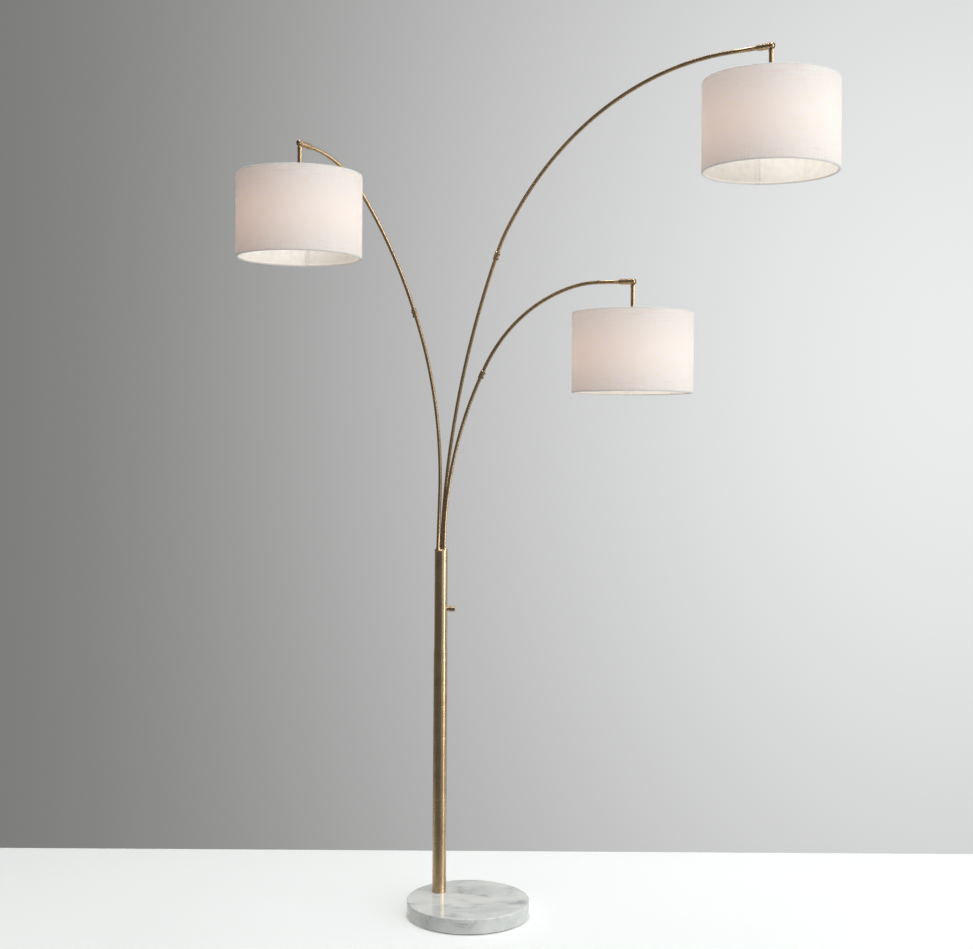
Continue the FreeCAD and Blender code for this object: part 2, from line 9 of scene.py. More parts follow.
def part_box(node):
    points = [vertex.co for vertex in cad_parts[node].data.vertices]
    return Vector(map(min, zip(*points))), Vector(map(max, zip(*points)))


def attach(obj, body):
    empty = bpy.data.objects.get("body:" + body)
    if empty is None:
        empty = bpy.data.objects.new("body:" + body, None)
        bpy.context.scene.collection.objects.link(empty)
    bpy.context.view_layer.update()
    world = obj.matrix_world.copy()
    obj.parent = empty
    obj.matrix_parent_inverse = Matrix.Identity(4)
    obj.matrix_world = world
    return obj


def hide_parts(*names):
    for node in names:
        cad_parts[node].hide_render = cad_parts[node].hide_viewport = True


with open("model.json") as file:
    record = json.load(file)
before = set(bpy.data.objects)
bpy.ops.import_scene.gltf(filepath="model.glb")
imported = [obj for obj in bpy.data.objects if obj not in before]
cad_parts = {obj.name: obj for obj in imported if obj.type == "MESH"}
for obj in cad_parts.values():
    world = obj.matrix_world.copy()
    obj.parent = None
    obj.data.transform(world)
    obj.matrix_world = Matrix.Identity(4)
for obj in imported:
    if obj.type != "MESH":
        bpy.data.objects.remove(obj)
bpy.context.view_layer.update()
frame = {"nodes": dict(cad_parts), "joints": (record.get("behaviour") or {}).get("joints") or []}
scene = bpy.context.scene
scene.view_settings.view_transform = "Standard"

# ---------------------------------------------------------------- camera
# A level camera at the height of a person's chest, looking straight at the back wall.  The lens is
# worked out from the photograph's frame, and the small shift keeps the marble foot in it.
photo_width, photo_height = 973, 949
focal_pixels = 1385
horizon_row = 447
camera_place = Vector((0.042, -3.731, 1.259))
camera_roll = math.radians(0.37)

camera_data = bpy.data.cameras.new("camera")
camera_data.lens = focal_pixels / photo_width * camera_data.sensor_width
camera_data.shift_y = (horizon_row - photo_height / 2) / photo_width
camera = bpy.data.objects.new("camera", camera_data)
camera.matrix_world = (Matrix.Translation(camera_place) @ Matrix.Rotation(math.pi / 2, 4, "X")
                       @ Matrix.Rotation(camera_roll, 4, "Z"))
scene.collection.objects.link(camera)
scene.camera = camera


# ---------------------------------------------------------------- floor, wall and studio light
# A white floor that keeps the lamp's shadow, and a grey wall that is darker on the left and lets
# everything through from behind.  Soft boxes light the lamp from the right, the front and above, and
# a narrow card, which only metal and other glossy pieces show, gives the brass its bright stripe.
floor_half = 15.0
wall_distance = 0.585
wall_tall = 9.0
wall_dark, wall_pale = (124, 124, 122), (235, 236, 236)
wall_ramp_low, wall_ramp_high = -1.68, 1.52     # the wall goes from dark to pale between these places
wall_lit_height = 1.55          # the wall is palest at this height
wall_fall = 0.15                # and less above and below it, by this share at a metre
studio_dark = (102, 102, 100)   # the room to the left and in front of the lamp
far_view = (226, 227, 227)      # what shows above the floor where there is no wall
floor_paint = (228, 228, 227)
floor_glow, far_glow = 0.40, 0.95
lit_middle = (0.1, 0.4, 0.0)    # the lights reach the floor round this point
lit_half = (2.0, 1.6, 1.0)      # this far; beyond it the floor's own glow keeps it as pale
lit_fade = 3.0                  # and is full at this many times as far
mirrored_half = (0.9, 0.4, 1.0)     # metal sees the floor fade to the room's grey beyond this
mirrored_fade = 2.0             # and gone at this many times as far
room_low, room_high = 0.35, 0.85    # the room goes from grey to pale between these ways to the right
light_tint = (0.88, 0.98, 1.0)      # a little cool, so that the linen's warmth is the bulbs' painted glow


def paint(red, green, blue):
    """Colour of screen levels from 0 to 255."""
    return [((level / 255 + 0.055) / 1.055) ** 2.4 for level in (red, green, blue)] + [1.0]


def add_node(tree, kind, sockets=None, **settings):
    """New node, with its settings and with each named socket set to a value or linked to an output."""
    node = tree.nodes.new("ShaderNode" + kind)
    for setting, value in settings.items():
        setattr(node, setting, value)
    for socket, value in (sockets or {}).items():
        if isinstance(value, bpy.types.NodeSocket):
            tree.links.new(value, node.inputs[socket])
        else:
            node.inputs[socket].default_value = value
    return node


def ramp(tree, value, low, high, dark, pale):
    """Colour that goes from dark to pale while the value goes from low to high."""
    share = add_node(tree, "MapRange", {"Value": value, "From Min": low, "From Max": high})
    mixed = add_node(tree, "Mix", {0: share.outputs["Result"], 6: dark, 7: pale}, data_type="RGBA")
    return mixed.outputs[2]


def start_finish(name, sockets):
    """Material with the plain sockets of its shader set."""
    finish = bpy.data.materials.new(name)
    finish.use_nodes = True
    shader = finish.node_tree.nodes["Principled BSDF"]
    for socket, value in sockets.items():
        shader.inputs[socket].default_value = value
    return finish, finish.node_tree, shader


def shown_ray(tree):
    """1 for what the camera sees by itself, in a mirror or through glass, and 0 for plain light."""
    rays = add_node(tree, "LightPath")
    seen = rays.outputs["Is Camera Ray"]
    for kind in ("Is Glossy Ray", "Is Transmission Ray"):
        seen = add_node(tree, "Math", {0: seen, 1: rays.outputs[kind]}, operation="MAXIMUM").outputs[0]
    return seen


def make_piece(name, shape, *finishes):
    """Object of a bmesh, smooth all over, with its finishes."""
    mesh = bpy.data.meshes.new(name)
    for face in shape.faces:
        face.smooth = True
    shape.to_mesh(mesh)
    shape.free()
    for finish in finishes:
        mesh.materials.append(finish)
    piece = bpy.data.objects.new(name, mesh)
    scene.collection.objects.link(piece)
    return piece


def stage_sheet(name, width, height, place, finish):
    """Flat sheet of the studio, which isn't a piece of the lamp."""
    shape = bmesh.new()
    bmesh.ops.create_grid(shape, x_segments=1, y_segments=1, size=0.5)
    bmesh.ops.scale(shape, vec=(width, height, 1), verts=shape.verts)
    bmesh.ops.transform(shape, matrix=place, verts=shape.verts)
    make_piece(name, shape, finish)


floor_finish, tree, shader = start_finish("floor_paint", {"Roughness": 0.7})
reaches = []
for half in (lit_half, mirrored_half):
    place = add_node(tree, "Mapping", {"Vector": add_node(tree, "TexCoord").outputs["Object"],
                                       "Location": lit_middle, "Scale": half}, vector_type="TEXTURE")
    reaches.append(add_node(tree, "VectorMath", {0: place.outputs[0]}, operation="LENGTH").outputs["Value"])
mirrored = ramp(tree, reaches[1], mirrored_fade, 1.0, paint(*studio_dark), paint(*floor_paint))
floor_colour = add_node(tree, "Mix", {0: add_node(tree, "LightPath").outputs["Is Glossy Ray"],
                                      6: paint(*floor_paint), 7: mirrored}, data_type="RGBA").outputs[2]
tree.links.new(floor_colour, shader.inputs["Base Color"])
strength = add_node(tree, "MapRange", {"Value": reaches[0], "From Min": 1.0, "From Max": lit_fade,
                                       "To Min": floor_glow, "To Max": far_glow}).outputs["Result"]
glow = add_node(tree, "Emission", {"Color": floor_colour, "Strength": strength})
both = add_node(tree, "AddShader", {0: shader.outputs[0], 1: glow.outputs[0]})
seen = add_node(tree, "MixShader", {0: shown_ray(tree), 1: shader.outputs[0], 2: both.outputs[0]})
tree.links.new(seen.outputs[0], tree.nodes["Material Output"].inputs["Surface"])
stage_sheet("floor", 2 * floor_half, 2 * floor_half, Matrix.Identity(4), floor_finish)

wall_finish, tree, shader = start_finish("wall_paint", {"Roughness": 0.9})
place = add_node(tree, "SeparateXYZ", {0: add_node(tree, "TexCoord").outputs["Object"]})
across = add_node(tree, "MapRange", {"Value": place.outputs["X"], "From Min": wall_ramp_low,
                                     "From Max": wall_ramp_high}, interpolation_type="SMOOTHSTEP")
away = add_node(tree, "Math", {0: place.outputs["Z"], 1: wall_lit_height}, operation="SUBTRACT").outputs[0]
square = add_node(tree, "Math", {0: away, 1: away}, operation="MULTIPLY").outputs[0]
fallen = add_node(tree, "Math", {0: square, 1: wall_fall, 2: 1.0}, operation="MULTIPLY_ADD").outputs[0]
lit = add_node(tree, "Math", {0: across.outputs["Result"], 1: fallen}, operation="DIVIDE").outputs[0]
wall_colour = ramp(tree, lit, 0.0, 1.0, paint(*wall_dark), paint(*wall_pale))
tree.links.new(wall_colour, shader.inputs["Base Color"])
glow = add_node(tree, "Emission", {"Color": wall_colour})
front = add_node(tree, "MixShader", {0: shown_ray(tree), 1: shader.outputs[0], 2: glow.outputs[0]})
back = add_node(tree, "NewGeometry").outputs["Backfacing"]
clear = add_node(tree, "BsdfTransparent")
sided = add_node(tree, "MixShader", {0: back, 1: front.outputs[0], 2: clear.outputs[0]})
tree.links.new(sided.outputs[0], tree.nodes["Material Output"].inputs["Surface"])
stand_up = Matrix.Translation((0, wall_distance, wall_tall / 2)) @ Matrix.Rotation(math.pi / 2, 4, "X")
stage_sheet("wall", 2 * floor_half, wall_tall, stand_up, wall_finish)

world = bpy.data.worlds.new("studio")
world.use_nodes = True
tree = world.node_tree
way = add_node(tree, "SeparateXYZ", {0: add_node(tree, "TexCoord").outputs["Generated"]})
room = ramp(tree, way.outputs["X"], room_low, room_high, paint(*studio_dark), paint(*wall_pale))
sky = add_node(tree, "Mix", {0: add_node(tree, "LightPath").outputs["Is Camera Ray"], 6: room,
                             7: paint(*far_view)}, data_type="RGBA").outputs[2]
tree.links.new(sky, tree.nodes["Background"].inputs["Color"])
tree.nodes["Background"].inputs["Strength"].default_value = 1.0
scene.world = world

# Each light: its place, the point it is aimed at, its width and height, its watts and its colour.
soft_boxes = {
    "key": ((2.75, -1.15, 1.4), (0.0, -0.3, 1.2), 1.9, 2.7, 13.0, light_tint),
    "screen": ((2.0, -2.9, 1.6), (0.0, -0.1, 1.2), 2.4, 2.8, 18.0, light_tint),
    "brow": ((1.3, -2.4, 3.3), (0.7, -0.7, 1.7), 1.6, 1.2, 10.0, light_tint),
    "top": ((-0.1, -0.2, 6.5), (-0.1, -0.2, 0.0), 3.0, 2.6, 240.0, (0.98, 1.0, 1.0)),
    "strip": ((3.15, -1.15, 1.4), (0.0, 0.0, 1.0), 0.9, 3.2, 60.0, (1.0, 1.0, 1.0)),
}
for name, (place, aim, width, height, watts, tint) in soft_boxes.items():
    light = bpy.data.lights.new(name, "AREA")
    light.shape = "RECTANGLE"
    light.size, light.size_y = width, height
    light.energy = watts
    light.color = tint
    lamp = bpy.data.objects.new(name, light)
    turn = (Vector(aim) - Vector(place)).to_track_quat("-Z", "Y")
    lamp.matrix_world = Matrix.Translation(place) @ turn.to_matrix().to_4x4()
    lamp.visible_camera = False
    lamp.visible_diffuse = name != "strip"      # a narrow card that only shows as a line in the brass
    scene.collection.objects.link(lamp)


# ---------------------------------------------------------------- felt disc
# Grey wool felt, punched round and glued under the marble so that the foot doesn't scratch a floor.
# It covers the recess with the nut, and is the face that the lamp rests on.
felt_grey, felt_pale = (92, 92, 90), (128, 127, 124)
felt_fibre = 900.0              # fibres' noise, in waves for each metre
felt_nap = 0.0006


def dress(finish, *names):
    """Gives CAD nodes a finish."""
    for name in names:
        for slot in frame["nodes"][name].material_slots:
            slot.material = finish


def feed(tree, output, shader, socket):
    """Links an output to a socket of a shader."""
    tree.links.new(output, shader.inputs[socket])


def noise(tree, where, scale, detail=2.0, roughness=0.5, distortion=0.0):
    """Noise from 0 to 1 over a vector, in waves for each metre."""
    node = add_node(tree, "TexNoise", {"Vector": where, "Scale": scale, "Detail": detail,
                                       "Roughness": roughness, "Distortion": distortion})
    return node.outputs[0]


def bump(tree, height, strength, distance):
    """Normal of a height in waves of the given depth in metres."""
    return add_node(tree, "Bump", {"Height": height, "Strength": strength, "Distance": distance}).outputs[0]


felt, tree, shader = start_finish("grey_felt", {"Roughness": 1.0, "Sheen Weight": 0.4})
where = add_node(tree, "TexCoord").outputs["Object"]
fibres = noise(tree, where, felt_fibre, 4.0, 0.7, 0.8)
feed(tree, ramp(tree, fibres, 0.3, 0.7, paint(*felt_grey), paint(*felt_pale)), shader, "Base Color")
feed(tree, bump(tree, fibres, 0.8, felt_nap), shader, "Normal")
dress(felt, "foot_felt")


# ---------------------------------------------------------------- marble foot
# A round of white marble, sawn, ground and polished, with soft grey clouds and a few drawn-out veins.
# It weighs the lamp down under the reach of its arms.
marble_white, marble_cloud, marble_vein = (248, 246, 242), (220, 220, 218), (182, 183, 182)
cloud_size, vein_size = 0.075, 0.090
vein_way = math.radians(24)     # turn of the veins from the lamp's left-right line
vein_stretch = (0.75, 1.2, 1.1)
vein_shift = (0.021, 0.013, 0.0)
vein_half = 0.05                # half a vein's width, as a share of the noise's range
gate_low, gate_high = 0.52, 0.70    # veins only come up where the clouds' noise is above this
cloud_low, cloud_high = 0.42, 0.66
crystal_waves, crystal_share = 420.0, 0.07
crystal_white = (255, 255, 255)

marble, tree, shader = start_finish("white_marble", {"Roughness": 0.09, "Coat Weight": 0.3,
                                                    "Coat Roughness": 0.03})
where = add_node(tree, "TexCoord").outputs["Object"]
turned = add_node(tree, "Mapping", {"Vector": where, "Rotation": (0, 0, vein_way), "Scale": vein_stretch,
                                    "Location": vein_shift}).outputs[0]
clouds = noise(tree, turned, 1 / cloud_size, 4.0, 0.52, 0.4)
streaks = noise(tree, turned, 1 / vein_size, 5.0, 0.6, 0.9)
fine = noise(tree, where, crystal_waves, 3.0, 0.6)
ridge = add_node(tree, "Math", {0: streaks, 1: 0.5}, operation="SUBTRACT").outputs[0]
ridge = add_node(tree, "Math", {0: ridge}, operation="ABSOLUTE").outputs[0]
vein = add_node(tree, "MapRange", {"Value": ridge, "From Min": 0.0, "From Max": vein_half, "To Min": 1.0,
                                   "To Max": 0.0}, interpolation_type="SMOOTHSTEP").outputs["Result"]
gate = add_node(tree, "MapRange", {"Value": clouds, "From Min": gate_low, "From Max": gate_high},
                interpolation_type="SMOOTHSTEP").outputs["Result"]
vein = add_node(tree, "Math", {0: vein, 1: gate}, operation="MULTIPLY").outputs[0]
soft = ramp(tree, clouds, cloud_low, cloud_high, paint(*marble_white), paint(*marble_cloud))
crystals = ramp(tree, fine, 0.3, 0.7, paint(*marble_cloud), paint(*crystal_white))
speckled = add_node(tree, "Mix", {0: crystal_share, 6: soft, 7: crystals}, data_type="RGBA").outputs[2]
veined = add_node(tree, "Mix", {0: vein, 6: speckled, 7: paint(*marble_vein)}, data_type="RGBA").outputs[2]
feed(tree, veined, shader, "Base Color")
dress(marble, "marble_foot")


# ---------------------------------------------------------------- steel under the pole
# Zinc-plated threaded rod, with a wide washer and a nut in the recess under the marble.  The rod
# screws into a steel plug in the pole and pulls it down; another plug joins the two pole tubes.
zinc_dark, zinc_pale = (148, 149, 152), (190, 191, 194)
zinc_lines = (500, 500, 500)    # waves for each metre along each axis
tarnish_waves = 22.0
lacquer_rough = 0.22


def new_group(name, inputs, outputs):
    """Shader node group with float or vector inputs and float outputs."""
    group = bpy.data.node_groups.new(name, "ShaderNodeTree")
    for socket, kind in inputs.items():
        group.interface.new_socket(name=socket, in_out="INPUT", socket_type="NodeSocket" + kind)
    for socket in outputs:
        group.interface.new_socket(name=socket, in_out="OUTPUT", socket_type="NodeSocketFloat")
    entry = group.nodes.new("NodeGroupInput")
    end = group.nodes.new("NodeGroupOutput")
    return group, entry, end


# Grain left by an abrasive belt: fine and coarse lines along the short axis of a stretched vector,
# and slow patches of tarnish over the place itself.
grain, entry, end = new_group("brushed_grain", {"Lines": "Vector", "Place": "Vector"},
                              ("Grain", "Tarnish"))
fine = noise(grain, entry.outputs["Lines"], 1.0, 3.0, 0.7)
coarse = noise(grain, entry.outputs["Lines"], 0.16, 2.0, 0.5)
both = add_node(grain, "Math", {0: fine, 1: coarse}, operation="ADD").outputs[0]
half = add_node(grain, "Math", {0: both, 1: 0.5}, operation="MULTIPLY").outputs[0]
grain.links.new(half, end.inputs["Grain"])
grain.links.new(noise(grain, entry.outputs["Place"], tarnish_waves, 4.0, 0.6, 0.5), end.inputs["Tarnish"])


def brushed(name, source, stretch, dark, pale, rough, smooth, depth, drawn=0.0, lacquer=0.0):
    """Brushed metal: `stretch` is the lines' waves for each metre along each axis.

    `drawn` is how much the brush marks draw its highlights out across them, along the piece, and
    `lacquer` is how well clear lacquer covers it.
    """
    finish, tree, shader = start_finish(name, {"Metallic": 1.0, "Anisotropic": drawn,
                                               "Anisotropic Rotation": 0.25, "Coat Weight": lacquer,
                                               "Coat Roughness": lacquer_rough})
    if drawn:
        ways = {"Object": {"direction_type": "RADIAL", "axis": "Z"}, "UV": {"direction_type": "UV_MAP"}}
        feed(tree, add_node(tree, "Tangent", **ways[source]).outputs[0], shader, "Tangent")
    where = add_node(tree, "TexCoord").outputs[source]
    lines = add_node(tree, "Mapping", {"Vector": where, "Scale": stretch}).outputs[0]
    marks = add_node(tree, "Group", node_tree=grain)
    tree.links.new(lines, marks.inputs["Lines"])
    tree.links.new(where, marks.inputs["Place"])
    tone = add_node(tree, "Math", {0: marks.outputs["Grain"], 1: marks.outputs["Tarnish"]}, operation="ADD")
    feed(tree, ramp(tree, tone.outputs[0], 0.5, 1.5, dark, pale), shader, "Base Color")
    gloss = add_node(tree, "MapRange", {"Value": marks.outputs["Grain"], "From Min": 0.3, "From Max": 0.7,
                                        "To Min": rough, "To Max": smooth})
    feed(tree, gloss.outputs["Result"], shader, "Roughness")
    feed(tree, bump(tree, marks.outputs["Grain"], 0.1, depth), shader, "Normal")
    return finish


zinc = brushed("zinc_plate", "Object", zinc_lines, paint(*zinc_dark), paint(*zinc_pale),
               rough=0.45, smooth=0.32, depth=0.00008)
dress(zinc, "foot_washer", "foot_nut", "tie_rod", "pole_foot_plug", "pole_joint_plug", "arm_root_nuts")


# ---------------------------------------------------------------- pole
# Two brass tubes, one over the other with a thin ring in the seam, brushed round and round on a lathe
# and darkened to an antique brown.  The cap closes the top with a thin lip.
brass_dark, brass_pale = (150, 122, 88), (206, 178, 140)
round_lines = (14, 14, 900)     # the pole's brush marks run round it
turned_lines = (420, 420, 700)
lacquer_cover = 0.7

pole_brass = brushed("pole_brass", "Object", round_lines, paint(*brass_dark), paint(*brass_pale),
                     rough=0.32, smooth=0.26, depth=0.00002, drawn=0.85, lacquer=lacquer_cover)
dress(pole_brass, "lower_pole", "seam_ring", "upper_pole")

turned_brass = brushed("turned_brass", "Object", turned_lines, paint(*brass_dark), paint(*brass_pale),
                       rough=0.34, smooth=0.22, depth=0.00003, lacquer=lacquer_cover)
dress(turned_brass, "pole_cap", "cap_ferrules")


# ---------------------------------------------------------------- switch, cord bushing and leads
# A rotary switch behind a round nut, with a ribbed brass knob on its shaft.  The bushing at the back
# takes the supply lead in, and the leads run up inside the pole.
black_plain, black_pale = (20, 20, 21), (38, 38, 40)
jacket_plain, jacket_pale = (222, 219, 210), (236, 234, 227)
skin_waves, cast_waves = 1500.0, 60.0
skin_depth = 0.00005


def moulded(name, plain, pale, roughness):
    """Moulded plastic with a fine spark-eroded texture."""
    finish, tree, shader = start_finish(name, {"Roughness": roughness})
    where = add_node(tree, "TexCoord").outputs["Object"]
    skin = noise(tree, where, skin_waves, 2.0, 0.6)
    cast = noise(tree, where, cast_waves, 2.0, 0.5)
    feed(tree, ramp(tree, cast, 0.3, 0.7, plain, pale), shader, "Base Color")
    feed(tree, bump(tree, skin, 0.3, skin_depth), shader, "Normal")
    return finish


black = moulded("black_plastic", paint(*black_plain), paint(*black_pale), 0.45)
jacket = moulded("wire_jacket", paint(*jacket_plain), paint(*jacket_pale), 0.4)
dress(turned_brass, "switch_nut", "switch_knob")
dress(black, "cord_inlet_bushing", "switch_body")
dress(jacket, "pole_wiring")


# ---------------------------------------------------------------- arms
# Each arm is two thin brass tubes, bent on formers in a few sweeping arcs and brushed round, with the
# lamp wire inside.  A sleeve with two clamp screws joins the tubes, and a turned fitting at the tip
# is slotted for the stem, which hangs on a pivot screw.
cap_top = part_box("pole_cap")[1].z
root_rise = 0.012               # straight tube between the cap and the first bend
root_bend = 0.060
arm_radius = 0.005
arm_wall = 0.0012
coupler_half = 0.012
tube_in_tip = 0.022             # front of the tip fitting back to the end of the tube
arm_sides = 28
bend_step = math.radians(0.9)   # turn of the tube between two rings
tube_lines = (14, 900, 1)       # waves round the tube and along it

# Each arm: the heading it reaches out to, its lean above the cap in degrees, its straight rise, the
# lower tube's bend, the upper tube's two bends, each as radius and degrees, and its straight end.
arm_plans = {
    "tall": (-44.0, 3.8, 0.021, (2.010, 21.9), (0.350, 10.1), (0.804, 57.4), 0.114),
    "middle": (-128.0, -2.5, 0.135, (0.960, 29.5), (1.088, 18.7), (0.284, 39.1), 0.050),
    "low": (-32.0, 1.5, 0.021, (0.984, 26.1), (0.411, 49.7), (0.285, 14.9), 0.103),
}
joints = {joint["name"]: joint for joint in frame["joints"]}


def seat(station):
    """Matrix with Z along the tube and X to the inner side of its bend, at a station."""
    point, along, inner = station
    side = along.cross(inner)
    return Matrix.Translation(point) @ Matrix((inner, side, along)).transposed().to_4x4()


def straight(run, length):
    """Adds the station at the end of a straight."""
    point, along, inner = run[-1]
    run.append((point + along * length, along, inner))


def bend(run, radius, degrees):
    """Adds stations round a bend that curves to the inner side, or away from it if degrees is negative."""
    point, along, inner = run[-1]
    turn = math.radians(degrees)
    reach = math.copysign(radius, turn)
    centre = point + inner * reach
    steps = max(2, math.ceil(abs(turn) / bend_step))
    for step in range(1, steps + 1):
        part = turn * step / steps
        run.append((centre - inner * (reach * math.cos(part)) + along * (reach * math.sin(part)),
                    along * math.cos(part) + inner * math.sin(part),
                    inner * math.cos(part) - along * math.sin(part)))


def make_tube(name, run, finish):
    """Tube extruded ring by ring through the stations of a run, with a UV map in metres."""
    shape = bmesh.new()
    around = shape.verts.layers.int.new("around")
    far = shape.verts.layers.float.new("far")
    bmesh.ops.create_circle(shape, segments=arm_sides, radius=arm_radius, matrix=seat(run[0]))
    shape.verts.ensure_lookup_table()
    for place, vert in enumerate(shape.verts):
        vert[around] = place
    rim = shape.edges[:]
    run_length = 0.0
    for before, after in zip(run, run[1:]):
        grown = bmesh.ops.extrude_edge_only(shape, edges=rim)["geom"]
        ring = [item for item in grown if isinstance(item, bmesh.types.BMVert)]
        rim = [item for item in grown if isinstance(item, bmesh.types.BMEdge)]
        ring_set = set(ring)
        rim = [edge for edge in rim if all(vert in ring_set for vert in edge.verts)]
        bmesh.ops.transform(shape, matrix=seat(after) @ seat(before).inverted(), verts=ring)
        run_length += (after[0] - before[0]).length
        for vert in ring:
            vert[far] = run_length
    bmesh.ops.recalc_face_normals(shape, faces=shape.faces)
    uv = shape.loops.layers.uv.new("tube")
    girth = 2 * math.pi * arm_radius
    for face in shape.faces:
        places = [loop.vert[around] for loop in face.loops]
        wraps = max(places) - min(places) > arm_sides / 2
        for loop, place in zip(face.loops, places):
            turn = place + arm_sides if wraps and place < arm_sides / 2 else place
            loop[uv].uv = (turn / arm_sides * girth, loop.vert[far])
    tube = make_piece(name, shape, finish)
    wall = tube.modifiers.new("wall", "SOLIDIFY")
    wall.thickness = arm_wall
    wall.offset = -1
    return tube


def fit(piece, body, slot, *nodes):
    """Puts a new piece on its body in place of the plain solids it stands for."""
    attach(piece, body)
    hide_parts(*nodes)


tube_brass = brushed("tube_brass", "UV", tube_lines, paint(*brass_dark), paint(*brass_pale),
                     rough=0.30, smooth=0.26, depth=0.000003, drawn=0.8, lacquer=lacquer_cover)
for arm, (reach, lean, rise, lower_bend, first_bend, last_bend, end_run) in arm_plans.items():
    root = Vector(joints[arm + "_arm_turn"]["pos_m"])
    root.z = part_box(arm + "_arm_lower_tube")[0].z
    heading = Vector((math.cos(math.radians(reach)), math.sin(math.radians(reach)), 0))
    lower = [(root, Vector((0, 0, 1)), heading)]
    straight(lower, cap_top + root_rise - root.z)
    bend(lower, root_bend, lean)
    straight(lower, rise)
    bend(lower, *lower_bend)
    straight(lower, coupler_half)
    upper = [lower[-1]]
    straight(upper, coupler_half)
    bend(upper, *first_bend)
    bend(upper, *last_bend)
    straight(upper, end_run - tube_in_tip)
    body = arm + "_arm"
    lower_tube = make_tube(arm + "_lower_bent_tube", lower, tube_brass)
    upper_tube = make_tube(arm + "_upper_bent_tube", upper, tube_brass)
    fit(lower_tube, body, "antique_brass", arm + "_arm_lower_tube")
    fit(upper_tube, body, "antique_brass", arm + "_arm_upper_tube")
    dress(turned_brass, arm + "_arm_coupler", arm + "_arm_clamp_screws", arm + "_arm_tip_fitting",
          arm + "_arm_pivot_screw")
    dress(jacket, arm + "_arm_wire")


# ---------------------------------------------------------------- stems and lamp holders
# A brass stem with a flat eye hangs on each pivot screw and carries the cup, the black lamp holder and
# the ribbed ring that clamps the shade's frame under the holder's flange.
ring_plain, ring_pale = (226, 224, 218), (240, 239, 234)

white_plastic = moulded("white_plastic", paint(*ring_plain), paint(*ring_pale), 0.35)
for arm in arm_plans:
    dress(turned_brass, arm + "_stem", arm + "_holder_cup")
    dress(black, arm + "_lamp_holder")
    dress(white_plastic, arm + "_shade_ring")


# ---------------------------------------------------------------- shade frames
# Steel wire, welded and dipped in white enamel: a ring at the bottom of each drum, and one at the top
# with spokes to the fitter that the holder's ring clamps.
enamel_plain, enamel_pale = (232, 230, 224), (244, 243, 240)
enamel_waves, enamel_depth = 120.0, 0.0002

enamel, tree, shader = start_finish("white_enamel", {"Roughness": 0.3, "Coat Weight": 0.4})
where = add_node(tree, "TexCoord").outputs["Object"]
runs = noise(tree, where, enamel_waves, 3.0, 0.5)
feed(tree, ramp(tree, runs, 0.3, 0.7, paint(*enamel_plain), paint(*enamel_pale)), shader, "Base Color")
feed(tree, bump(tree, runs, 0.3, enamel_depth), shader, "Normal")
for arm in arm_plans:
    dress(enamel, arm + "_shade_frame")


# ---------------------------------------------------------------- bulbs
# A round opal bulb with a nickel-plated screw cap, lit and warm white.  Its glass is a globe that
# runs in a straight cone to the neck.
globe_radius = 0.030
neck_radius = 0.0135
cap_radius = 0.0128
cap_length = 0.025
contact_height = 0.001
contact_radius = 0.0045
thread_pitch = 0.0036
thread_depth = 0.0006
thread_margin = 0.003           # plain metal above and below the thread
cap_edge = 0.0008
contact_cone = 0.003            # the cap's end narrows to this much more than the contact's radius
bulb_steps, globe_steps = 64, 20
glass_white, glass_pale = (255, 250, 240), (255, 253, 248)
bulb_light, bulb_pale, bulb_strength = (255, 222, 196), (255, 236, 208), 1.6
nickel_dark, nickel_pale = (176, 172, 164), (208, 205, 198)
nickel_lines = (600, 600, 600)
opal_waves = 90.0
merge_reach = 1e-6


def spin_round(outline, steps):
    """bmesh of an outline of (radius, height) points, spun once about Z."""
    shape = bmesh.new()
    points = [shape.verts.new((radius, 0, height)) for radius, height in outline]
    for point, following in zip(points, points[1:]):
        shape.edges.new((point, following))
    bmesh.ops.spin(shape, geom=shape.verts[:] + shape.edges[:], cent=(0, 0, 0), axis=(0, 0, 1),
                   dvec=(0, 0, 0), angle=2 * math.pi, steps=steps, use_merge=True)
    bmesh.ops.remove_doubles(shape, verts=shape.verts, dist=merge_reach)
    bmesh.ops.dissolve_degenerate(shape, edges=shape.edges, dist=merge_reach)
    bmesh.ops.recalc_face_normals(shape, faces=shape.faces)
    return shape


opal, tree, shader = start_finish("opal_glass", {"Roughness": 0.12, "Emission Strength": bulb_strength})
where = add_node(tree, "TexCoord").outputs["Object"]
cast = noise(tree, where, opal_waves, 2.0, 0.5)
feed(tree, ramp(tree, cast, 0.2, 0.8, paint(*glass_white), paint(*glass_pale)), shader, "Base Color")
feed(tree, ramp(tree, cast, 0.2, 0.8, paint(*bulb_light), paint(*bulb_pale)), shader, "Emission Color")
nickel = brushed("nickel_plate", "Object", nickel_lines, paint(*nickel_dark), paint(*nickel_pale),
                 rough=0.3, smooth=0.2, depth=0.00004)

